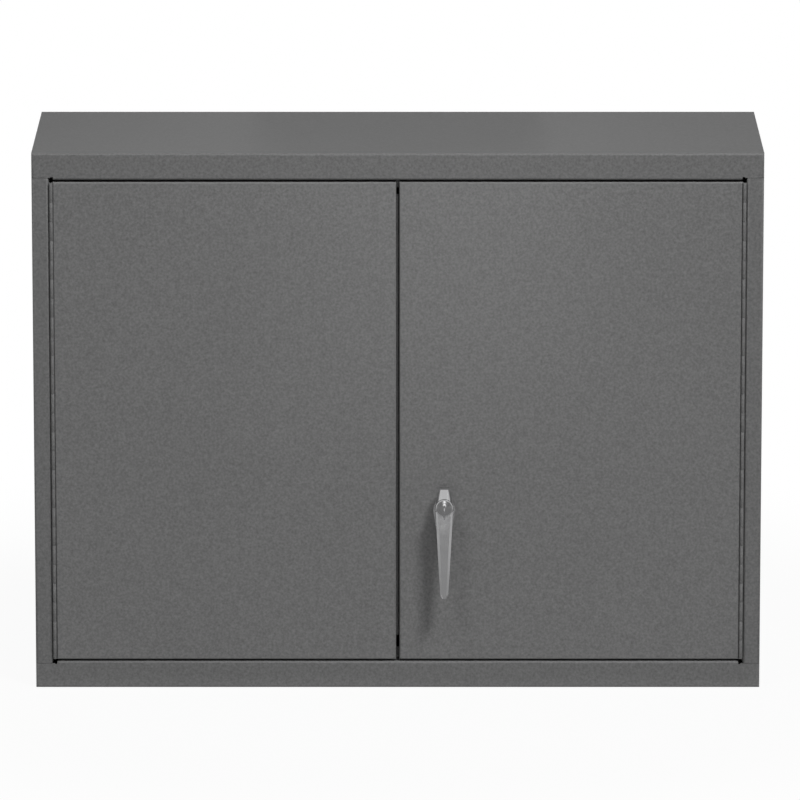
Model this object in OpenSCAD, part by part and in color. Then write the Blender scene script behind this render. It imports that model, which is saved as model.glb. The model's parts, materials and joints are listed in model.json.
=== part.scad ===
// Welded sheet-steel tool cabinet with two flush doors, a lever handle with a key lock
// and a two-rod latch. Front is -Y, right is +X, up is +Z. The origin is the centre of
// the underside of the base. All sizes are in millimetres.

/* [Cabinet] */
// Width over the side panels
body_w = 914.4; // [600:0.1:1300]
// Height over the base and the top
body_h = 685.8; // [560:0.1:1200]
// Depth over the front frame and the back
body_d = 304.8; // [240:0.1:600]
// Thickness of the body sheet
sheet_t = 1.9; // [1.2:0.1:2.6]
// Outer radius of the body's bends
body_bend_r = 3; // [2.8:0.1:4]
// Width of the flanges round the back
rear_flange_w = 19; // [14:0.5:24]

/* [Front frame] */
// Width of each post beside the doors
post_w = 21.6; // [16:0.1:40]
// Depth of the post's return inside the opening
post_return_d = 30; // [26:0.5:40]
// Height of the head flange above the posts
head_h = 30.9; // [24:0.1:60]
// Height of the base flange below the posts
base_h = 31.3; // [24:0.1:60]
// How far the head and base lips reach past their flanges into the opening
lip_step = 3.1; // [2:0.1:4]
// Depth from the front to the flange that stops the doors
stop_depth = 24; // [23.5:0.1:27]
// Height of the stop flange
stop_h = 13; // [8:0.5:16]
// Width of the corner relief beside each lip
relief_w = 3.1; // [2:0.1:4]
// Open seam between a post and the head or base flange
seam = 0.4; // [0.2:0.1:0.8]

/* [Doors] */
// Thickness of the door sheet
door_t = 1.5; // [1:0.1:2]
// Depth of the door pan
door_depth = 22; // [18:0.5:23]
// Outer radius of the door's bends
door_bend_r = 2.2; // [2.2:0.1:4]
// Width of the lip round the inside of the pan
door_lip = 20; // [14:0.5:26]
// Gap above the doors
gap_top = 2.4; // [2:0.1:5]
// Gap below the doors
gap_bottom = 2.2; // [2:0.1:5]
// Gap between the doors
gap_centre = 4; // [3.6:0.1:8]
// Width of the stiffening channel
stiffener_w = 60; // [40:1:90]
// Free edge of the astragal past the middle of the gap
astragal_reach = 1; // [0.4:0.1:1.1]
// Astragal's distance below the top of the door
astragal_top = 19; // [16:0.5:40]
// Astragal's distance above the bottom of the door
astragal_bottom = 26.5; // [16:0.5:40]

/* [Hinges] */
// Gap between a door and its post, which the hinge fills
hinge_gap = 4.6; // [4.6:0.1:7]
// How much nearer the door than the post the pin stands, from the middle of that gap
pin_shift = 0.4; // [0:0.1:0.5]
// Outer radius of a hinge knuckle
knuckle_r = 2.2; // [2.1:0.05:2.3]
// Radius of the hinge pin
pin_r = 1.2; // [1:0.05:1.3]
// Radial clearance of every turning or sliding fit
running_clear = 0.05; // [0.02:0.01:0.09]
// Length of a knuckle, rounded so that the row ends on a frame knuckle
knuckle_len = 25.4; // [20:0.1:60]
// Gap between neighbouring knuckles
knuckle_gap = 0.3; // [0.2:0.1:0.6]
// Thickness of a hinge leaf
leaf_t = 1.3; // [1:0.1:1.3]
// Width of a hinge leaf behind the pin
leaf_w = 17; // [14:0.5:20]
// How far the pin's axis stands in front of the doors
axis_proud = 0.5; // [0.3:0.1:1]

/* [Handle] */
// Distance of the handle's axis from the cabinet's centre line
handle_x = 58.4; // [52:0.1:75]
// Height of the handle's axis above the base
handle_z = 240; // [200:0.5:360]
// Length of the lever from its axis to its tip
lever_len = 117; // [95:0.5:130]
// Height of the lever's heel above its axis
lever_heel = 22.3; // [20:0.1:30]
// Width across the top of the lever's heel
heel_w = 11.6; // [9:0.1:14]
// Radius of the hub round the lock
hub_r = 10.8; // [10.6:0.1:13]
// Stand-off of the hub's front from the door
hub_out = 34; // [32:0.5:42]
// Radius of the neck that turns in the rose
neck_r = 8.5; // [7.5:0.1:9]
// Width of the rose below the axis, where it is widest
rose_w = 27.4; // [25:0.1:34]
// Width of the rose's upper end
rose_top_w = 15; // [12:0.5:20]
// Width of the rose's lower end
rose_foot_w = 22; // [14:0.5:24]
// Height of the rose
rose_h = 56; // [54:0.5:64]
// Thickness of the rose
rose_t = 3; // [2.4:0.1:5]
// How far the rose's middle lies below the axis
rose_drop = 11; // [6:0.5:11]
// Radius of the lock barrel
barrel_r = 9.5; // [8.5:0.1:9.8]
// Radius of the plug that the key turns
plug_r = 6.4; // [5.5:0.1:7]
// Stand-off of the floor of the lock's pocket from the door
pocket_floor = 17; // [16:0.5:20]
// Radius of the spindle
spindle_r = 5; // [4:0.1:6]

/* [Latch] */
// Radius of the latch rods
rod_r = 4; // [3:0.1:5]
// Travel of each rod over a quarter turn of the lever
rod_travel = 14; // [10:0.5:15]
// Clearance of a drawn-back rod from the edge of its stop
rod_free = 1.5; // [1:0.1:3]
// Gap between a rod and the back of the stop flange
rod_behind = 0.7; // [0.5:0.1:2]
// Radius of the pins that drive the rods
drive_pin_r = 2.5; // [2:0.1:3]
// Clearance of a drive pin in its slot
slot_clear = 0.45; // [0.4:0.05:0.6]
// Thickness of the yoke at a rod's end and of the cam
yoke_t = 3; // [2.5:0.1:4]
// Height of a rod guide
guide_h = 7; // [6:0.5:10]

/* [Shelves] */
// Thickness of the shelf sheet
shelf_t = 1.2; // [0.9:0.1:2]
// Height of the shelf's front and rear edges
shelf_edge = 25; // [18:0.5:32]
// Gap between the doors' latch and the shelves
shelf_setback = 52; // [46:1:80]
// Distance of a standard's ends from the base and the top
standard_end = 60; // [50:1:70]
// Distance of the front standards behind the shelves' front edge
front_standard_in = 28; // [22:1:40]
// Distance of the rear standards from the back
rear_standard_in = 50; // [40:1:60]
// Width of a slotted standard
standard_w = 25; // [18:0.5:30]
// Depth of a slotted standard
standard_d = 8; // [6:0.5:12]
// Thickness of the standards and clips
standard_t = 1.2; // [1:0.1:1.5]
// Distance between slots
slot_pitch = 25.4; // [20:0.1:51]
// Height of a slot
slot_h = 3.6; // [3:0.1:5]
// Width of a slot
slot_w = 13; // [10:0.5:16]
// Slot that carries the lower shelf, counted from the bottom
lower_slot = 7; // [3:1:9]
// Slot that carries the upper shelf, counted from the bottom
upper_slot = 16; // [12:1:17]

/* [Wall bolts] */
// Distance of the bolt holes from the sides
bolt_inset_x = 50.8; // [35:0.1:120]
// Distance of the bolt holes from the base and the top
bolt_inset_z = 63.5; // [35:0.1:120]
// Radius of a bolt hole
bolt_r = 5; // [3:0.1:8]

/* [Hidden] */
$fn = 64;

// Faces and edges of the body
y_front = -body_d / 2;
y_back = body_d / 2;
wall_x = body_w / 2 - sheet_t;
opening_x = body_w / 2 - post_w;
head_lip_z = body_h - head_h - lip_step;
base_lip_z = base_h + lip_step;
stop_y = y_front + stop_depth;

// Faces and edges of the doors
door_x0 = gap_centre / 2;
door_x1 = opening_x - hinge_gap;
door_z0 = base_lip_z + gap_bottom;
door_z1 = head_lip_z - gap_top;
door_back_y = y_front + door_depth;
skin_y = y_front + door_t;

// Hinges
axis_x = opening_x - hinge_gap / 2 - pin_shift;
axis_y = y_front - axis_proud;
knuckles = 2 * floor((door_z1 - door_z0) / knuckle_len / 2) + 1;
knuckle_pitch = (door_z1 - door_z0 - 2) / knuckles;
leaf_start = knuckle_r + 0.4;

// Latch: each drive pin turns from 45 degrees before level to 45 degrees past it
rod_y = stop_y + sheet_t + rod_behind + rod_r;
drive_r = rod_travel / sqrt(2);
cam_r = drive_r + drive_pin_r + 2.5;
yoke_y = rod_y - yoke_t / 2;
cam_y = yoke_y - 1 - yoke_t;
rod_dx = drive_r * (1 + cos(45)) / 2;
slot_half_w = (drive_r - rod_dx) + drive_pin_r + slot_clear;
slot_half_h = drive_pin_r + slot_clear;
yoke_half_w = slot_half_w + 3;
yoke_half_h = slot_half_h + 3.5;
top_tip_z = head_lip_z - stop_h - rod_free;
bottom_tip_z = base_lip_z + stop_h + rod_free;
back_plate_t = 3;
screw_r = 2.5;
screw_head_r = 4.6;
screw_head_h = 3;
lock_dome_r = 40;
screw_heights = [neck_r + screw_r + 1.7, 11 - rose_h / 2 - rose_drop];

// Shelves and standards
standard_z0 = standard_end;
standard_z1 = body_h - standard_end;
front_standard_y = y_front + shelf_setback + front_standard_in;
rear_standard_y = y_back - rear_standard_in;
shelf_y0 = y_front + shelf_setback;
shelf_y1 = y_back - 2 * sheet_t - 4;
shelf_hem = 12;
shelf_half = wall_x - standard_d - 1.5;
clip_w = slot_w - 1;
clip_ledge = 14;

// Lever: height above the axis as a share of lever_len, width, stand-off of the back and
// of the front from the door, chamfer
lever_run = [
    [-0.05, 21.4, 17, 31.5, 2],
    [-0.29, 18.9, 21.5, 32.5, 3],
    [-0.73, 13.4, 25, 34, 2.8],
    [-0.96, 9.8, 27, 34.6, 2.4],
    [-1, 6.4, 28.4, 33.6, 1.6],
];

powder_grey = "dimgray";
zinc = "silver";
bright = "gainsboro";

// ---------------------------------------------------------------- shared shapes

// Sheet folded square along the middle line pts, with the middle bend radius r
module folded(pts, t, r) {
    last = len(pts) - 1;
    for (i = [0:last - 1]) {
        run = (pts[i + 1] - pts[i]) / norm(pts[i + 1] - pts[i]);
        a = pts[i] + run * (i == 0 ? 0 : r);
        b = pts[i + 1] - run * (i == last - 1 ? 0 : r);
        side = [abs(run.y), abs(run.x)] * t / 2;
        low = [min(a.x, b.x), min(a.y, b.y)] - side;
        translate(low) square([abs(b.x - a.x), abs(b.y - a.y)] + 2 * side);
    }
    for (i = [1:last - 1]) {
        run_in = (pts[i] - pts[i - 1]) / norm(pts[i] - pts[i - 1]);
        run_out = (pts[i + 1] - pts[i]) / norm(pts[i + 1] - pts[i]);
        corner = run_in - run_out;
        centre = pts[i] - corner * r;
        reach = r + t;
        low = [min(0, corner.x), min(0, corner.y)] * reach;
        translate(centre) intersection() {
            difference() {
                circle(r + t / 2);
                circle(r - t / 2);
            }
            translate(low) square(reach);
        }
    }
}

// Extrudes an outline drawn in Y and Z along X, centred
module along_x(w) {
    translate([-w / 2, 0, 0]) rotate([90, 0, 90]) linear_extrude(w) children();
}

// Box between two corners
module box(a, b) {
    translate(a) cube(b - a);
}

// Cylinder along Y from y0 to y1
module rod_along_y(r, y0, y1) {
    translate([0, y1, 0]) rotate([90, 0, 0]) cylinder(r = r, h = y1 - y0);
}

// Plan of the body with its corners rounded as the side panels' bends are
module body_plan() {
    half = body_w / 2;
    intersection() {
        soft_front(-half, half, y_front, y_back + 1, body_bend_r);
        mirror([0, 1]) soft_front(-half, half, y_front, y_back + 1, body_bend_r);
    }
}

// Rectangle from a0 to a1 whose two corners at y0 are rounded
module soft_front(a0, a1, y0, y1, r) {
    translate([a0, y0 + r]) square([a1 - a0, y1 - y0 - r]);
    translate([a0 + r, y0]) square([a1 - a0 - 2 * r, 2 * r]);
    for (a = [a0 + r, a1 - r]) {
        translate([a, y0 + r]) circle(r);
    }
}

module on_left() {
    mirror([1, 0, 0]) children();
}

// ---------------------------------------------------------------- body

// Head or base drawn as the base: sheet, rear flange, front flange, lip and stop flange
module end_panel(flange_h, lip_z) {
    m = sheet_t / 2;
    r = body_bend_r - m;
    lip_half = opening_x - hinge_gap / 2 - relief_w;
    intersection() {
        difference() {
            union() {
                along_x(body_w) folded([
                    [y_back - m, rear_flange_w],
                    [y_back - m, m],
                    [y_front + m, m],
                    [y_front + m, flange_h],
                ], sheet_t, r);
                along_x(2 * lip_half) folded([
                    [y_front + m, flange_h / 2],
                    [y_front + m, lip_z - m],
                    [stop_y + m, lip_z - m],
                    [stop_y + m, lip_z + stop_h],
                ], sheet_t, r);
            }
            for (s = [-1, 1]) {
                translate([s * (lip_half + relief_w / 2), y_front, flange_h]) {
                    cube([relief_w, 4 * sheet_t, 2], center = true);
                }
            }
        }
        linear_extrude(body_h) body_plan();
    }
}

module top_panel() {
    color(powder_grey) translate([0, 0, body_h]) mirror([0, 0, 1]) end_panel(head_h, body_h - head_lip_z);
}

module bottom_panel() {
    color(powder_grey) end_panel(base_h, base_lip_z);
}

// Right side panel: wall, rear flange, and the post with its return. Above and below
// the post and the rear flange it is cut back to sit inside the head's and base's flanges.
module side_panel() {
    m = sheet_t / 2;
    edge = body_w / 2;
    inner_bend = body_bend_r - sheet_t + 0.1;
    difference() {
        translate([0, 0, sheet_t]) linear_extrude(body_h - 2 * sheet_t) folded([
            [edge - rear_flange_w, y_back - m],
            [edge - m, y_back - m],
            [edge - m, y_front + m],
            [opening_x + m, y_front + m],
            [opening_x + m, y_front + post_return_d],
        ], sheet_t, body_bend_r - m);
        for (z = [[0, base_h + seam], [body_h - head_h - seam, body_h]]) {
            box([opening_x - 1, y_front - 1, z[0]], [edge + 1, y_front + sheet_t, z[1]]);
            box([opening_x - 1, y_front - 1, z[0]], [wall_x - 2, y_front + post_return_d + 1, z[1]]);
        }
        for (z = [[0, rear_flange_w + seam], [body_h - rear_flange_w - seam, body_h]]) {
            box([edge - rear_flange_w - 1, y_back - sheet_t, z[0]], [edge + 1, y_back + 1, z[1]]);
        }
        for (y = [y_front + sheet_t, y_back - sheet_t - inner_bend]) {
            for (z = [sheet_t, body_h - sheet_t - inner_bend]) {
                translate([edge - rear_flange_w, y, z]) cube([rear_flange_w + 1, inner_bend, inner_bend]);
            }
        }
    }
}

module right_side_panel() {
    color(powder_grey) side_panel();
}

module left_side_panel() {
    color(powder_grey) on_left() side_panel();
}

// Back sheet, welded inside the rear flanges, with the four wall bolt holes
module back_panel() {
    in = body_bend_r + 0.1;
    half = body_w / 2 - in;
    color(powder_grey) difference() {
        box([-half, y_back - 2 * sheet_t, in], [half, y_back - sheet_t, body_h - in]);
        for (x = [-1, 1], z = [-1, 1]) {
            translate([x * (body_w / 2 - bolt_inset_x), 0, body_h / 2 + z * (body_h / 2 - bolt_inset_z)]) {
                rod_along_y(bolt_r, y_back - 3 * sheet_t, y_back);
            }
        }
    }
}

// ---------------------------------------------------------------- shelves

// Slotted channel on the right wall, centred at y
module standard(y) {
    x_face = wall_x - standard_d;
    color(zinc) difference() {
        box([x_face, y - standard_w / 2, standard_z0], [wall_x, y + standard_w / 2, standard_z1]);
        box([x_face + standard_t, y - standard_w / 2 + standard_t, standard_z0 - 1],
            [wall_x + 1, y + standard_w / 2 - standard_t, standard_z1 + 1]);
        for (z = [standard_z0 + slot_pitch / 2:slot_pitch:standard_z1 - slot_h - 4]) {
            translate([x_face - 1, y - slot_w / 2, z]) cube([standard_t + 2, slot_w, slot_h]);
        }
    }
}

module left_front_standard() {
    on_left() standard(front_standard_y);
}

module left_rear_standard() {
    on_left() standard(rear_standard_y);
}

module right_front_standard() {
    standard(front_standard_y);
}

module right_rear_standard() {
    standard(rear_standard_y);
}

// Underside of the shelf that hangs on the given slot
function shelf_z(slot) = standard_z0 + slot_pitch * (slot - 0.5) + slot_h - 0.3;

module shelf(slot) {
    m = shelf_t / 2;
    edge = shelf_z(slot) + shelf_t - shelf_edge + m;
    color(powder_grey) along_x(2 * shelf_half) folded([
        [shelf_y0 + shelf_hem, edge],
        [shelf_y0 + m, edge],
        [shelf_y0 + m, shelf_z(slot) + m],
        [shelf_y1 - m, shelf_z(slot) + m],
        [shelf_y1 - m, edge],
        [shelf_y1 - shelf_hem, edge],
    ], shelf_t, shelf_t * 1.5);
}

module upper_shelf() {
    shelf(upper_slot);
}

module lower_shelf() {
    shelf(lower_slot);
}

// One clip on the right wall: a tongue through the slot, a hook behind it and a ledge
module clip(y, slot) {
    x_face = wall_x - standard_d;
    top = shelf_z(slot);
    bar = slot_h - 0.6;
    translate([0, y - clip_w / 2, 0]) {
        translate([x_face - clip_ledge, 0, top - bar]) cube([clip_ledge + standard_t + 3, clip_w, bar]);
        translate([x_face + standard_t + 0.3, 0, top - bar]) cube([1.5, clip_w, bar + 5]);
        translate([x_face - 1.8, 0, top - 12]) cube([1.8, clip_w, 12]);
    }
}

module shelf_clips(slot) {
    color(zinc) for (s = [0, 1], y = [front_standard_y, rear_standard_y]) {
        mirror([s, 0, 0]) clip(y, slot);
    }
}

module upper_shelf_clips() {
    shelf_clips(upper_slot);
}

module lower_shelf_clips() {
    shelf_clips(lower_slot);
}

// ---------------------------------------------------------------- hinges

// Leaf beside the pin at the origin, with its outer face at x = face and every second
// knuckle from first
module leaf(first, face) {
    z_low = door_z0 + 1;
    root = [min(face - leaf_t, knuckle_r / 2), knuckle_r / 2];
    difference() {
        union() {
            box([face - leaf_t, leaf_start, z_low], [face, leaf_w, z_low + knuckles * knuckle_pitch]);
            for (i = [first:2:knuckles - 1]) {
                translate([0, 0, z_low + i * knuckle_pitch + knuckle_gap / 2]) {
                    cylinder(r = knuckle_r, h = knuckle_pitch - knuckle_gap);
                    translate(root) {
                        cube([face - root.x, leaf_start + 0.1 - root.y, knuckle_pitch - knuckle_gap]);
                    }
                }
            }
        }
        translate([0, 0, z_low - 1]) {
            cylinder(r = pin_r + running_clear, h = knuckles * knuckle_pitch + 2);
        }
    }
}

module frame_leaf() {
    color(powder_grey) translate([axis_x, axis_y, 0]) leaf(0, hinge_gap / 2 + pin_shift);
}

module door_leaf() {
    color(powder_grey) translate([axis_x, axis_y, 0]) mirror([1, 0, 0]) leaf(1, hinge_gap / 2 - pin_shift);
}

module hinge_pin() {
    color(powder_grey) translate([axis_x, axis_y, door_z0 + 1.2]) {
        cylinder(r = pin_r, h = knuckles * knuckle_pitch - 0.4);
    }
}

module right_frame_leaf() {
    frame_leaf();
}

module left_frame_leaf() {
    on_left() frame_leaf();
}

module right_door_leaf() {
    door_leaf();
}

module left_door_leaf() {
    on_left() door_leaf();
}

module right_hinge_pin() {
    hinge_pin();
}

module left_hinge_pin() {
    on_left() hinge_pin();
}

// ---------------------------------------------------------------- doors

// Block of the right door, drawn in by inset, with its front edges rounded
module door_block(inset, y_end) {
    r = door_bend_r - inset;
    x0 = door_x0 + inset;
    x1 = door_x1 - inset;
    z0 = door_z0 + inset;
    z1 = door_z1 - inset;
    intersection() {
        translate([0, 0, z0]) linear_extrude(z1 - z0) soft_front(x0, x1, y_front + inset, y_end, r);
        along_x(body_w) mirror([1, -1]) soft_front(z0, z1, y_front + inset, y_end, r);
    }
}

// Pan of the right door: face, edges turned back, and a lip round the inside
module door_pan() {
    difference() {
        door_block(0, door_back_y);
        door_block(door_t, door_back_y - door_t);
        box([door_x0 + door_lip, skin_y + 1, door_z0 + door_lip],
            [door_x1 - door_lip, door_back_y + 1, door_z1 - door_lip]);
    }
}

// Hat channel up the middle of the right door
module stiffener() {
    mid = (door_x0 + door_x1) / 2;
    top = door_back_y - door_t - 2;
    m = door_t / 2;
    half = stiffener_w / 2;
    color(powder_grey) translate([mid, 0, door_z0 + door_lip + 2]) {
        linear_extrude(door_z1 - door_z0 - 2 * door_lip - 4) folded([
            [-half - 12, skin_y + m],
            [-half, skin_y + m],
            [-half, top - m],
            [half, top - m],
            [half, skin_y + m],
            [half + 12, skin_y + m],
        ], door_t, door_bend_r - m);
    }
}

module left_door_panel() {
    color(powder_grey) on_left() door_pan();
}

module left_door_stiffener() {
    on_left() stiffener();
}

// Strip on the left door that fills the gap between the doors
module astragal() {
    color(powder_grey) box([-door_x0 - door_lip + 4, door_back_y, door_z0 + astragal_bottom],
        [astragal_reach, door_back_y + door_t, door_z1 - astragal_top]);
}

module right_door_panel() {
    color(powder_grey) difference() {
        door_pan();
        translate([handle_x, 0, handle_z]) {
            rod_along_y(spindle_r + 1, y_front - 1, skin_y + 1);
            for (z = screw_heights) {
                translate([0, 0, z]) rod_along_y(screw_r + 0.25, y_front - 1, skin_y + 1);
            }
        }
    }
}

module right_door_stiffener() {
    stiffener();
}

// ---------------------------------------------------------------- handle

// Circle of radius r0 at height z0 over one of radius r1 at z1, with their side tangents
module tapered(r0, z0, r1, z1) {
    lean = asin((r1 - r0) / (z0 - z1));
    a = [r0 * cos(lean), z0 + r0 * sin(lean)];
    b = [r1 * cos(lean), z1 + r1 * sin(lean)];
    translate([0, z0]) circle(r0);
    translate([0, z1]) circle(r1);
    polygon([a, b, [-b.x, b.y], [-a.x, a.y]]);
}

// Plate with the rose's outline drawn in by inset, from y0 to y1
module rose_plate(inset, y0, y1) {
    top_r = rose_top_w / 2;
    foot_r = rose_foot_w / 2;
    wide_r = rose_w / 2 - inset;
    wide_z = (rose_foot_w - rose_top_w) / 4;
    translate([0, y1, -rose_drop]) rotate([90, 0, 0]) linear_extrude(y1 - y0) {
        tapered(top_r - inset, rose_h / 2 - top_r, wide_r, wide_z);
        tapered(wide_r, wide_z, foot_r - inset, foot_r - rose_h / 2);
    }
}

// Rose on the door's face, stepped at its rim, in which the neck of the lever turns
module handle_rose() {
    color(bright) translate([handle_x, y_front, handle_z]) difference() {
        union() {
            rose_plate(0, -rose_t * 0.6, 0);
            rose_plate(1, -rose_t, 0);
        }
        rod_along_y(neck_r + running_clear, -rose_t - 1, 1);
        for (z = screw_heights) {
            translate([0, 0, z]) rod_along_y(screw_r + running_clear, -rose_t + 1, 1);
        }
    }
}

// Plate behind the door's face that carries the spindle
module handle_back_plate() {
    color(zinc) translate([handle_x, skin_y, handle_z]) difference() {
        box([-rose_w / 2 - 3, 0, -rose_h / 2 - rose_drop - 3],
            [rose_w / 2 + 3, back_plate_t, rose_h / 2 - rose_drop + 3]);
        rod_along_y(spindle_r + running_clear, -1, back_plate_t + 1);
        for (z = screw_heights) {
            translate([0, 0, z]) rod_along_y(screw_r + running_clear, -1, back_plate_t + 1);
        }
    }
}

// Two screws from inside the door into the back of the rose
module handle_screws() {
    head_y = skin_y + back_plate_t;
    color(zinc) for (z = screw_heights) {
        translate([handle_x, 0, handle_z + z]) {
            rod_along_y(screw_r, y_front - rose_t + 1.1, head_y);
            difference() {
                rod_along_y(screw_head_r, head_y, head_y + screw_head_h);
                rod_along_y(1.6, head_y + screw_head_h / 2, head_y + screw_head_h + 1);
            }
        }
    }
}

// Thin slice of the lever at one station of its run
module lever_slice(s) {
    w = s[1] / 2;
    back = -s[2];
    front = -s[3];
    c = s[4];
    translate([0, 0, s[0] * lever_len]) linear_extrude(0.2) polygon([
        [-w, back - 1], [-w + 1, back], [w - 1, back], [w, back - 1],
        [w, front + c], [w - c, front], [c - w, front], [-w, front + c],
    ]);
}

// Lever: neck, hub with the lock's pocket, sloping heel and tapered arm
module lever_handle() {
    color(bright) translate([handle_x, y_front, handle_z]) difference() {
        union() {
            rod_along_y(neck_r, -18, -0.5);
            translate([0, -hub_out, 0]) rotate([-90, 0, 0]) rotate_extrude() {
                polygon([[0, 0], [hub_r - 0.8, 0], [hub_r, 0.8], [hub_r, 17], [hub_r - 2, 20], [0, 20]]);
            }
            hull() {
                rod_along_y(hub_r - 0.2, -hub_out + 4, -16);
                translate([0, 0, lever_heel - 2.5]) {
                    box([-heel_w / 2 - 0.8, -18.5, 0], [heel_w / 2 + 0.8, -12, 1]);
                    box([-heel_w / 2 + 1, -20.5, 0], [heel_w / 2 - 1, -10, 1]);
                    box([-heel_w / 2, -18, 1], [heel_w / 2, -12.5, 2.5]);
                }
            }
            for (i = [0:len(lever_run) - 2]) {
                hull() {
                    lever_slice(lever_run[i]);
                    lever_slice(lever_run[i + 1]);
                }
            }
        }
        rod_along_y(barrel_r + running_clear, -hub_out - 2, -pocket_floor);
        for (z = [-barrel_r - 2.4, -barrel_r - 4.6]) {
            translate([0, 0, z]) rod_along_y(1.2, -hub_out, -28);
        }
    }
}

// Rod of the lock, whose front stands the given height out of the hub and is domed
module domed_rod(r, proud, y_end) {
    intersection() {
        rod_along_y(r, -hub_out - proud, y_end);
        translate([0, lock_dome_r - hub_out - proud, 0]) sphere(r = lock_dome_r);
    }
}

// Barrel pressed into the hub, with the plug's bore
module lock_barrel() {
    color(bright) translate([handle_x, y_front, handle_z]) difference() {
        domed_rod(barrel_r, 1.2, -pocket_floor);
        rod_along_y(plug_r + running_clear, -hub_out - 2, -pocket_floor + 1);
    }
}

// Plug that the key turns, with its keyway and the flat tail at its inner end
module lock_plug() {
    tail_t = 4;
    color(bright) translate([handle_x, y_front, handle_z]) difference() {
        union() {
            domed_rod(plug_r, 1.4, -pocket_floor - tail_t);
            intersection() {
                rod_along_y(plug_r, -pocket_floor - tail_t - 1, -pocket_floor - 0.3);
                box([-plug_r, -pocket_floor - tail_t - 1, -plug_r], [0, -pocket_floor - 0.3, plug_r]);
            }
        }
        box([-0.8, -hub_out - 2, -3.6], [0.8, -hub_out + 8, 3.6]);
        box([-1.6, -hub_out - 2, -3.6], [0.8, -hub_out + 8, -1.8]);
    }
}

// Spindle from the lever's neck, through the door, to the cam's square hole
module handle_spindle() {
    square_w = spindle_r * 1.3;
    color(zinc) translate([handle_x, 0, handle_z]) {
        rod_along_y(spindle_r, y_front - 0.5, cam_y);
        box([-square_w / 2, cam_y, -square_w / 2], [square_w / 2, cam_y + yoke_t, square_w / 2]);
    }
}

// ---------------------------------------------------------------- latch

// Round cam with two flats, on the square of the spindle
module latch_cam() {
    square_w = spindle_r * 1.3;
    color(zinc) translate([handle_x, 0, handle_z]) difference() {
        intersection() {
            rod_along_y(cam_r, cam_y, cam_y + yoke_t);
            rotate([0, 45, 0]) box([-cam_r, cam_y, -cam_r * 0.62], [cam_r, cam_y + yoke_t, cam_r * 0.62]);
        }
        box([-square_w / 2, cam_y - 1, -square_w / 2], [square_w / 2, cam_y + yoke_t + 1, square_w / 2]);
    }
}

// Two drive pins, 45 degrees below level on the right and above it on the left
module cam_pins() {
    color(zinc) translate([handle_x, 0, handle_z]) for (s = [-1, 1]) {
        translate([s * drive_r * cos(45), 0, -s * drive_r * sin(45)]) {
            rod_along_y(drive_pin_r, cam_y + yoke_t, yoke_y + yoke_t + 2);
        }
    }
}

// Rod up to its tip at the given height above the axis, flattened past the cam into a
// strap that ends in its slotted yoke
module latch_rod(tip) {
    pin_drop = drive_r * sin(45);
    round_z = cam_r + 1;
    nose = 3;
    color(zinc) translate([rod_dx, 0, 0]) {
        translate([0, rod_y, round_z]) cylinder(r = rod_r, h = tip - nose - round_z);
        translate([0, rod_y, tip - nose]) cylinder(r1 = rod_r, r2 = rod_r - 2, h = nose);
        translate([0, 0, -pin_drop]) difference() {
            union() {
                box([-rod_r, yoke_y, 0], [rod_r, yoke_y + yoke_t, round_z + pin_drop + 6]);
                box([-yoke_half_w, yoke_y, -yoke_half_h], [yoke_half_w, yoke_y + yoke_t, yoke_half_h]);
            }
            box([-slot_half_w, yoke_y - 1, -slot_half_h], [slot_half_w, yoke_y + yoke_t + 1, slot_half_h]);
        }
    }
}

module top_latch_rod() {
    translate([handle_x, 0, handle_z]) latch_rod(top_tip_z - handle_z);
}

module bottom_latch_rod() {
    translate([handle_x, 0, handle_z]) rotate([0, 180, 0]) latch_rod(handle_z - bottom_tip_z);
}

// Guide on the door's lip with the rod's bore, from z upwards
module rod_guide(x, z) {
    color(zinc) translate([x, 0, z]) difference() {
        box([-rod_r - 4, door_back_y, 0], [rod_r + 4, rod_y + rod_r + 3, guide_h]);
        translate([0, rod_y, -1]) cylinder(r = rod_r + running_clear, h = guide_h + 2);
    }
}

module upper_rod_guide() {
    rod_guide(handle_x + rod_dx, door_z1 - door_lip);
}

module lower_rod_guide() {
    rod_guide(handle_x - rod_dx, door_z0 + door_lip - guide_h);
}

// ---------------------------------------------------------------- all the pieces

top_panel();
bottom_panel();
left_side_panel();
right_side_panel();
back_panel();
left_front_standard();
left_rear_standard();
right_front_standard();
right_rear_standard();
upper_shelf();
lower_shelf();
upper_shelf_clips();
lower_shelf_clips();
left_frame_leaf();
right_frame_leaf();
left_hinge_pin();
right_hinge_pin();
left_door_panel();
left_door_stiffener();
left_door_leaf();
astragal();
right_door_panel();
right_door_stiffener();
right_door_leaf();
handle_rose();
handle_back_plate();
handle_screws();
upper_rod_guide();
lower_rod_guide();
lever_handle();
lock_barrel();
lock_plug();
handle_spindle();
latch_cam();
cam_pins();
top_latch_rod();
bottom_latch_rod();
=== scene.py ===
# %% [markdown]
# # A sheet-steel tool cabinet
# The cabinet is welded from folded sheet and sprayed with a fine-grained grey powder coat. Its
# shapes come ready-made in a imported model, so this lesson is about what the model lacks: finishes,
# softened edges, light and a camera. The model is loaded first, and its box is kept.

# %% Load the imported model
import json
import math

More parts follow.
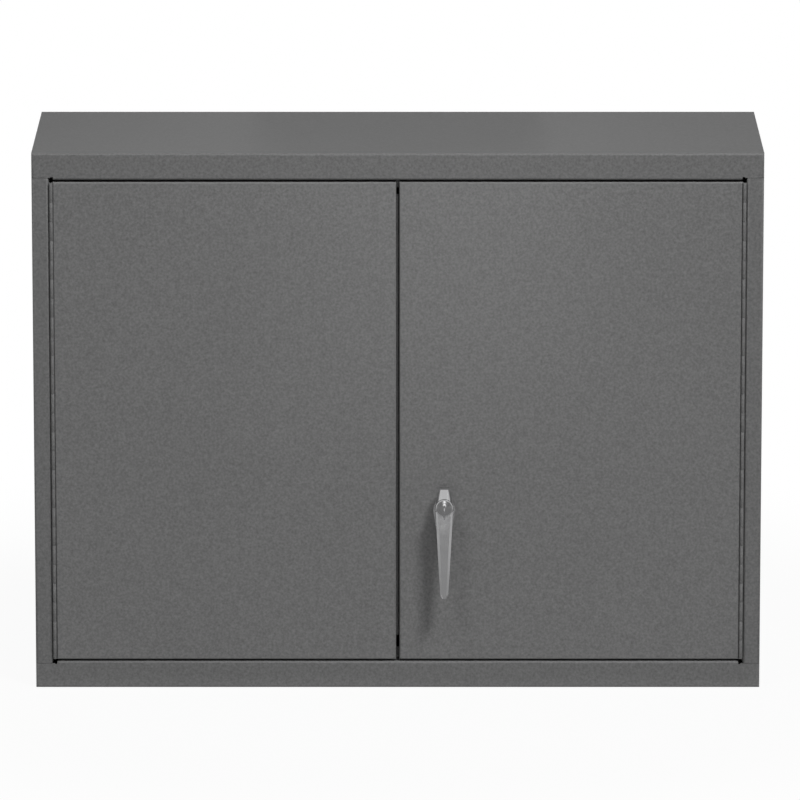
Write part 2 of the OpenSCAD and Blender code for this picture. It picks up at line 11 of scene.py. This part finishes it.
import bpy
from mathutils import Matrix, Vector


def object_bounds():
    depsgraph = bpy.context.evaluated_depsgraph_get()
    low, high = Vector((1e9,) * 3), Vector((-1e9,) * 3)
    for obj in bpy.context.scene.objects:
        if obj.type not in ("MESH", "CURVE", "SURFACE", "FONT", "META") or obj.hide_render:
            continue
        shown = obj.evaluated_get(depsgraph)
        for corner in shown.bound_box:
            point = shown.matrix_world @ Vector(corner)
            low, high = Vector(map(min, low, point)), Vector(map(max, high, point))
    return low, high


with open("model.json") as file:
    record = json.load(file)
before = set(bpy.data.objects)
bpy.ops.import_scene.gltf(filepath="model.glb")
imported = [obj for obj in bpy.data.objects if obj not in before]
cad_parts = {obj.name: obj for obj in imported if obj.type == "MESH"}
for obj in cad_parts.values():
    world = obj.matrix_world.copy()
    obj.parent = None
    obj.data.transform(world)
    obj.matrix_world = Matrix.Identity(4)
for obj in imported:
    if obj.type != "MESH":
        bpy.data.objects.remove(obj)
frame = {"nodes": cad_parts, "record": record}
cad_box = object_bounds()
nodes = frame["nodes"]

# %% [markdown]
# ## Writing a material as arithmetic
# A material is a graph of nodes. Placing nodes one by one hides the idea, so one small class
# wraps a socket and lets Python's own signs add the Math nodes: `0.4 + 0.1 * grain` reads as it
# is meant. Every other node comes from one method, which takes the node's type, its settings and
# what goes into its sockets.

# %% A socket that can be calculated with
class Value:
    """A socket of a graph. Arithmetic on it adds Math nodes, and a comparison gives 0 or 1."""

    def __init__(self, graph, socket):
        self.graph = graph
        self.socket = socket

    def _math(self, operation, *operands):
        return self.graph.node("ShaderNodeMath", {"operation": operation}, dict(enumerate(operands)))

    def __add__(self, other):
        return self._math("ADD", self, other)

    def __sub__(self, other):
        return self._math("SUBTRACT", self, other)

    def __rsub__(self, other):
        return self._math("SUBTRACT", other, self)

    def __mul__(self, other):
        return self._math("MULTIPLY", self, other)

    def __gt__(self, other):
        return self._math("GREATER_THAN", self, other)

    def __abs__(self):
        return self._math("ABSOLUTE", self)

    __radd__ = __add__
    __rmul__ = __mul__


print("a socket can be added, subtracted, multiplied and compared")


# %% A graph that makes any node
class Graph:
    """The nodes of a material or of the world."""

    def __init__(self, owner):
        owner.use_nodes = True
        self.tree = owner.node_tree
        self.tree.nodes.clear()

    def node(self, kind, settings=None, inputs=None, output=0):
        """Makes a node, gives it its settings, then its inputs, and returns one output."""
        made = self.tree.nodes.new(kind)
        for name, setting in (settings or {}).items():
            setattr(made, name, setting)
        for name, given in (inputs or {}).items():
            if isinstance(given, Value):
                self.tree.links.new(given.socket, made.inputs[name])
            else:
                made.inputs[name].default_value = given
        return Value(self, made.outputs[output]) if made.outputs else None


def material(name):
    made = bpy.data.materials.new(name)
    return made, Graph(made)


print("a graph makes a node from its type, its settings and its inputs")

# %% [markdown]
# ## Powder coat
# The coat is dry paint, sprayed on as dust and melted in an oven. Close to, it has a fine
# pebbled skin, and its grey is a little uneven. A picture of such a skin would stretch over the
# folds, so two layers of noise in real sizes are used instead: a fine one for the pebbles, and a
# broad one for the slow drift over a whole panel. Both move the grey and the gloss, and the
# pebbles move the surface as well. The doors have a glossier copy, whose lighter grey is painted
# light, and the strip in the shaded slot between them has a copy painted paler still as painted
# light.

# %% The grain of the coat
PEBBLE_PER_M = 330.0
DRIFT_PER_M = 5.0
NOISE_MEAN = 0.5


def grey(graph, value, tint=(1.0, 1.0, 1.0)):
    """A colour from one number, with the same tint all over."""
    return graph.node(
        "ShaderNodeCombineColor",
        inputs={"Red": value * tint[0], "Green": value * tint[1], "Blue": value * tint[2]},
    )


def noise(graph, per_m, detail, rough):
    """Noise from 0 to 1 that stays with the piece, with so many blots to the metre."""
    place = graph.node("ShaderNodeTexCoord", output="Object")
    return graph.node(
        "ShaderNodeTexNoise",
        inputs={"Vector": place, "Scale": per_m, "Detail": detail, "Roughness": rough},
    )


print("pebbles", round(1000 / PEBBLE_PER_M, 1), "mm apart, drift", 1000 / DRIFT_PER_M, "mm")

# %% The powder-coat finish
PEBBLE_TONE = 1.2
PEBBLE_GLOSS = 0.05
DRIFT_TONE = 0.1
DRIFT_GLOSS = 0.04
SKIN_STRENGTH = 0.2
BUMP_HEIGHT = 0.0004


def powder_coat(name, tone, roughness):
    made, g = material(name)
    skin = noise(g, PEBBLE_PER_M, 3.0, 0.6)
    pebbles = skin - NOISE_MEAN
    drift = noise(g, DRIFT_PER_M, 3.0, 0.5) - NOISE_MEAN
    pebbled = g.node(
        "ShaderNodeBump",
        inputs={"Strength": SKIN_STRENGTH, "Distance": BUMP_HEIGHT, "Height": skin},
    )
    paint = g.node(
        "ShaderNodeBsdfPrincipled",
        inputs={
            "Base Color": grey(g, tone * (1.0 + PEBBLE_TONE * pebbles + DRIFT_TONE * drift)),
            "Roughness": roughness + DRIFT_GLOSS * drift + PEBBLE_GLOSS * pebbles,
            "Normal": pebbled,
        },
    )
    g.node("ShaderNodeOutputMaterial", inputs={"Surface": paint})
    print(name, "tone", tone, "roughness", roughness)
    return made


finishes = {
    "powder_coat": powder_coat("powder_coat", tone=0.104, roughness=0.4),
    # painted light: the doors' grey is lighter than the body's; their lower roughness is their own
    # gloss
    "door_coat_painted_light": powder_coat("door_coat_painted_light", tone=0.119, roughness=0.3),
    # painted light: the strip's pale grey makes up for the shade in the slot between the doors
    "strip_coat_painted_light": powder_coat("strip_coat_painted_light", tone=0.2, roughness=0.4),
}

# %% [markdown]
# ## Chrome and zinc
# The lever, its rose and the lock are chromed castings. Chrome is nearly a mirror, so what makes
# it look real is what it mirrors, which comes further down, and a faint unevenness in its polish.
# One roughness all over would look newly machined, so a cloud of noise moves the tone, the gloss
# and the surface a little. The lock and the rose have darker copies of the chrome, whose darker
# tone is painted shade in their reflections, and the rose is duller as well, so there are three
# chromes. The fittings inside are zinc plated, which is duller, cloudy and a touch blue.

# %% The plated finishes
CLOUD_GLOSS = 0.12
RIPPLE_STRENGTH = 0.12
CHROME_TINT = (1.0, 1.0, 1.01)
ZINC_TINT = (0.98, 1.0, 1.04)


def plated(name, tone, tint, roughness, cloud, per_m):
    """Metal whose tone varies by the share cloud, in clouds of so many to the metre."""
    made, g = material(name)
    polish = noise(g, per_m, 4.0, 0.6)
    clouds = polish - NOISE_MEAN
    rippled = g.node(
        "ShaderNodeBump",
        inputs={"Strength": RIPPLE_STRENGTH, "Distance": BUMP_HEIGHT, "Height": polish},
    )
    metal = g.node(
        "ShaderNodeBsdfPrincipled",
        inputs={
            "Base Color": grey(g, tone * (1.0 + cloud * clouds), tint),
            "Metallic": 1.0,
            "Roughness": roughness + CLOUD_GLOSS * clouds,
            "Normal": rippled,
        },
    )
    g.node("ShaderNodeOutputMaterial", inputs={"Surface": metal})
    print(name, "tone", tone, "roughness", roughness)
    return made


def chrome(name, tone, roughness, cloud):
    return plated(name, tone, CHROME_TINT, roughness, cloud, per_m=90.0)


finishes["zinc_plate"] = plated("zinc_plate", 0.62, ZINC_TINT, roughness=0.34, cloud=0.3, per_m=60.0)
finishes["chrome_plate"] = chrome("chrome_plate", tone=0.43, roughness=0.11, cloud=0.06)
# painted shade: the lock's chrome is darker than the lever's, standing in for a darker reflection
finishes["lock_chrome_painted_dark"] = chrome("lock_chrome_painted_dark", tone=0.3, roughness=0.11, cloud=0.06)
# painted shade: the rose's chrome is darker, standing in for a darker reflection; its higher
# roughness is real
finishes["dull_chrome_painted_dark"] = chrome("dull_chrome_painted_dark", tone=0.3, roughness=0.26, cloud=0.1)

# %% [markdown]
# ## Finishing the carried-over pieces
# Folded sheet never has a knife edge: a cut edge is a little rounded and the coat rounds it
# more. The pieces keep their shape, and modifiers do the rounding: Weld joins the split corners of
# the loaded mesh, and Bevel rounds every sharp edge by a fraction of a millimetre. Smooth shading
# would smear across the long thin triangles round a hole, so a face that is level with all its
# corners' normals is shaded flat, and only the bends and rods are shaded smooth.

# %% Choose a finish for each piece
finish_of = {part["node"]: part["material_slot"] for part in frame["record"]["subparts"]}
# the doors take the copy of the coat whose lighter grey is painted light
finish_of.update({name: "door_coat_painted_light" for name in nodes if "_door_" in name})
# the strip takes the copy of the coat painted pale, as painted light in the shaded slot
finish_of["astragal"] = "strip_coat_painted_light"
# the rose and the lock take the chromes painted darker, as painted shade in their reflections
finish_of["handle_rose"] = "dull_chrome_painted_dark"
finish_of["lock_barrel"] = "lock_chrome_painted_dark"
finish_of["lock_plug"] = "lock_chrome_painted_dark"
for finish in finishes:
    print(finish, "on", sum(finish_of[name] == finish for name in nodes), "pieces")

# %% Soften the edges
EDGE_ROUND = 0.00035
FINE_ROUND = 0.00015
FINE_PIECES = ("lock_plug", "lock_barrel", "handle_screws", "cam_pins")
SHARP_ANGLE = math.radians(32)
WELD_DISTANCE = 1e-6
LEVEL = 0.99999


def is_level(mesh, face):
    """True where every corner of the face looks the same way as the face."""
    corners = mesh.corner_normals
    return all(corners[i].vector.dot(face.normal) > LEVEL for i in face.loop_indices)


def edge_width(name):
    """Small fittings and the thin hinge leaves have finer edges than the folded sheet."""
    return FINE_ROUND if name in FINE_PIECES or "leaf" in name else EDGE_ROUND


def soften(piece, width):
    mesh = piece.data
    curved = [not is_level(mesh, face) for face in mesh.polygons]
    if mesh.has_custom_normals:
        bpy.context.view_layer.objects.active = piece
        bpy.ops.mesh.customdata_custom_splitnormals_clear()
    mesh.shade_smooth()
    mesh.polygons.foreach_set("use_smooth", curved)
    weld = piece.modifiers.new("weld", "WELD")
    weld.merge_threshold = WELD_DISTANCE
    bevel = piece.modifiers.new("edge", "BEVEL")
    bevel.width = width
    bevel.segments = 2
    bevel.limit_method = "ANGLE"
    bevel.angle_limit = SHARP_ANGLE
    return sum(curved)


for name, piece in nodes.items():
    piece.data.materials.clear()
    piece.data.materials.append(finishes[finish_of[name]])
    curved_faces = soften(piece, edge_width(name))
    print(name, len(piece.data.polygons), "faces,", curved_faces, "of them curved")

# %% [markdown]
# ## The floor
# The cabinet stands on a white sweep. It could be lit until it is white, but that light would
# shine on the cabinet too. So the floor glows for the camera and for reflections only, as white
# as the background, and to the lamps it is plain grey paint. A little of the paint is mixed into
# the glow, which takes the shadow under the cabinet, and it fades out towards the rim, so that
# the floor has no visible end.

# %% What the floor and the world show as white
WHITE = (1, 1, 1, 1)


def shown(graph):
    """1 for what the camera sees, also in gloss and through glass, and 0 for what lights."""
    seen = graph.node("ShaderNodeLightPath", output="Is Camera Ray")
    mirrored = graph.node("ShaderNodeLightPath", output="Is Glossy Ray")
    through = graph.node("ShaderNodeLightPath", output="Is Transmission Ray")
    return seen + mirrored + through


# %% Floor
FLOOR_RADIUS = 1.25
RIM_CORNERS = 96
FADE_START = 0.6
FADE_END = FLOOR_RADIUS - 0.05
FLOOR_GLOW = 0.95
FLOOR_PAINT = (0.32, 0.32, 0.32, 1)


def floor_finish():
    made, g = material("studio_floor")
    place = g.node("ShaderNodeTexCoord", output="Object")
    distance = g.node("ShaderNodeVectorMath", {"operation": "LENGTH"}, {0: place}, output="Value")
    outside = g.node(
        "ShaderNodeMapRange",
        {"interpolation_type": "SMOOTHSTEP"},
        {"Value": distance, "From Min": FADE_START, "From Max": FADE_END},
    )
    paint = g.node("ShaderNodeBsdfDiffuse", inputs={"Color": FLOOR_PAINT})
    glow = g.node("ShaderNodeEmission", inputs={"Color": WHITE, "Strength": 1.0})
    share = shown(g) * (FLOOR_GLOW + (1.0 - FLOOR_GLOW) * outside)
    both = g.node("ShaderNodeMixShader", inputs={0: share, 1: paint, 2: glow})
    g.node("ShaderNodeOutputMaterial", inputs={"Surface": both})
    return made


def make_floor():
    mesh = bpy.data.meshes.new("studio_floor")
    turns = [2 * math.pi * i / RIM_CORNERS for i in range(RIM_CORNERS)]
    rim = [(FLOOR_RADIUS * math.cos(t), FLOOR_RADIUS * math.sin(t), 0) for t in turns]
    mesh.from_pydata(rim, [], [tuple(range(RIM_CORNERS))])
    mesh.materials.append(floor_finish())
    floor = bpy.data.objects.new("studio_floor", mesh)
    bpy.context.scene.collection.objects.link(floor)
    return floor


make_floor()
print("floor", 2 * FLOOR_RADIUS, "m wide")

# %% [markdown]
# ## Light
# The shadows of the lever tell where the lamps were: a deep one to the lower left, from a strong
# lamp high on the right, and a faint one to the lower right. The bright line along each bend
# peaks at the middle of the cabinet and is gone at the sides, and the lock carries one upright
# streak, so only a tall narrow lamp straight in front shows as gloss. The two high ones are
# taken to stand behind cloth: they light the coat, but gloss sees a dim square in place of each.
# A low one behind keeps the back from going dark. The world fills the rest, and it is white to
# the camera and in reflections.

# %% World
WORLD_FILL = 0.1


def make_world():
    world = bpy.data.worlds.new("studio")
    bpy.context.scene.world = world
    g = Graph(world)
    white = shown(g)
    level = white + (1.0 - white) * WORLD_FILL
    sky = g.node("ShaderNodeBackground", inputs={"Color": grey(g, level), "Strength": 1.0})
    g.node("ShaderNodeOutputWorld", inputs={"Surface": sky})
    print("world fills with", WORLD_FILL)


make_world()

# %% A lamp and its place
middle = (Vector(cad_box[0]) + Vector(cad_box[1])) / 2


def around(azimuth, elevation, distance):
    """A place seen from the middle of the cabinet, with azimuth 0 in front and 90 on the right."""
    a, e = math.radians(azimuth), math.radians(elevation)
    way = Vector((math.sin(a) * math.cos(e), -math.cos(a) * math.cos(e), math.sin(e)))
    return middle + way * distance


def lamp(name, place, width, height, watts, glossy):
    """A lamp that shines on the middle of the cabinet and that the camera doesn't see."""
    light = bpy.data.lights.new(name, "AREA")
    light.shape = "RECTANGLE"
    light.size = width
    light.size_y = height
    light.energy = watts
    made = bpy.data.objects.new(name, light)
    made.location = place
    made.rotation_euler = (middle - Vector(place)).to_track_quat("-Z", "Y").to_euler()
    made.visible_camera = False
    made.visible_glossy = glossy
    bpy.context.scene.collection.objects.link(made)
    print(name, watts, "W")


# %% Lamps
KEY_AZIMUTH = 36
KEY_ELEVATION = 53
KEY_DISTANCE = 9.0
KEY_WIDTH = 1.9
right_place = around(KEY_AZIMUTH, KEY_ELEVATION, KEY_DISTANCE)
left_place = around(-KEY_AZIMUTH, KEY_ELEVATION, KEY_DISTANCE)
lamp("key_right", right_place, KEY_WIDTH, KEY_WIDTH, watts=885.0, glossy=False)
lamp("key_left", left_place, KEY_WIDTH, KEY_WIDTH, watts=225.0, glossy=False)
lamp("front_strip", (0.08, -1.95, 0.75), width=0.3, height=1.6, watts=3.6, glossy=True)
lamp("rear_fill", around(190, 8, 5.0), width=2.0, height=2.0, watts=100.0, glossy=False)

# %% [markdown]
# ## Screens
# Gloss shows whatever stands around the cabinet, so a photographer puts up screens. Dim ones,
# upright and on the floor, give the chrome its grey, and those on the floor are lighter towards
# the sides, which draws a light line along the lever's edges. A dark one close behind keeps the
# top from mirroring the white backdrop, and its lighter wings draw the two pale stripes that the
# photograph has there. The last two stand for the cloth of the high lamps. Only reflections see
# the screens.

# %% A screen
def screen(name, corners, tone):
    """A board between four corners. Its tone is a number, or a function of the way aside."""
    mesh = bpy.data.meshes.new(name)
    mesh.from_pydata(corners, [], [(0, 1, 2, 3)])
    made, g = material(name)
    colour = WHITE
    strength = tone
    if callable(tone):
        place = g.node("ShaderNodeTexCoord", output="Object")
        x = g.node("ShaderNodeSeparateXYZ", inputs={"Vector": place}, output="X")
        colour = grey(g, tone(g, abs(x)))
        strength = 1.0
    board = g.node("ShaderNodeEmission", inputs={"Color": colour, "Strength": strength})
    g.node("ShaderNodeOutputMaterial", inputs={"Surface": board})
    mesh.materials.append(made)
    stood = bpy.data.objects.new(name, mesh)
    for ray in ("camera", "diffuse", "transmission", "volume_scatter", "shadow"):
        setattr(stood, "visible_" + ray, False)
    bpy.context.scene.collection.objects.link(stood)
    print(name)


# %% Tones that change sideways
WING_START = 0.187
BETWEEN_WINGS = 0.175


def ramp(g, aside, near, far, near_tone, far_tone):
    """A tone that changes evenly between two distances aside."""
    return g.node(
        "ShaderNodeMapRange",
        inputs={
            "Value": aside,
            "From Min": near,
            "From Max": far,
            "To Min": near_tone,
            "To Max": far_tone,
        },
    )


def brightening(g, aside):
    """Grey in front of the cabinet and lighter beside it."""
    return ramp(g, aside, near=0.45, far=0.8, near_tone=0.48, far_tone=0.8)


def winged(g, aside):
    """Darker in the middle, lighter just beside it and fading outwards."""
    wing = aside > WING_START
    fading = ramp(g, aside, near=WING_START, far=0.6, near_tone=0.28, far_tone=0.15)
    return BETWEEN_WINGS * (1.0 - wing) + fading * wing


# %% Where the screens stand
SCREEN_END = 2.5
FAR_Y = -2.3
FRONT_Y = -0.17
BACK_Y = 0.6
BESIDE_X = 0.5
OVER_FLOOR = 0.004


def upright(half_width, y, z0, z1):
    return [(-half_width, y, z0), (half_width, y, z0), (half_width, y, z1), (-half_width, y, z1)]


def lying(x0, x1, y0, y1):
    return [(x0, y0, OVER_FLOOR), (x1, y0, OVER_FLOOR), (x1, y1, OVER_FLOOR), (x0, y1, OVER_FLOOR)]


def facing(place, width):
    """A square that looks at the middle of the cabinet."""
    turn = (middle - place).to_track_quat("-Z", "Y")
    half = width / 2
    square = [(-half, -half, 0), (half, -half, 0), (half, half, 0), (-half, half, 0)]
    return [place + turn @ Vector(corner) for corner in square]


screen("front_screen", upright(SCREEN_END, FAR_Y, 0.0, 0.9), tone=0.45)
screen("floor_screen", lying(-SCREEN_END, SCREEN_END, FAR_Y, FRONT_Y), brightening)
screen("right_floor_screen", lying(BESIDE_X, SCREEN_END, FRONT_Y, BACK_Y), brightening)
screen("left_floor_screen", lying(-SCREEN_END, -BESIDE_X, FRONT_Y, BACK_Y), brightening)
screen("back_screen", upright(1.3, 0.32, 0.66, 1.6), winged)
screen("right_cloth", facing(right_place, KEY_WIDTH), tone=4.0)
screen("left_cloth", facing(left_place, KEY_WIDTH), tone=2.0)

# %% [markdown]
# ## Camera
# The photograph was taken with a long lens from far off and a little above: the top shows as a
# thin band and the front is hardly foreshortened. Distance, height and angle of view follow from
# the corners of the cabinet in the picture.

# %% Camera
CAMERA_DISTANCE = 10.083
CAMERA_ELEVATION = math.radians(11.998)
VIEW_ANGLE = math.radians(5.789)
AIM = Vector((0.0028, 0.0, 0.3393))


def make_camera():
    lens = bpy.data.cameras.new("camera")
    lens.angle = VIEW_ANGLE
    camera = bpy.data.objects.new("camera", lens)
    back = Vector((0, -math.cos(CAMERA_ELEVATION), math.sin(CAMERA_ELEVATION)))
    camera.location = AIM + back * CAMERA_DISTANCE
    camera.rotation_euler = (-back).to_track_quat("-Z", "Y").to_euler()
    bpy.context.scene.collection.objects.link(camera)
    bpy.context.scene.camera = camera
    print("camera", [round(c, 3) for c in camera.location])


make_camera()
bpy.context.scene.view_settings.view_transform = "Standard"
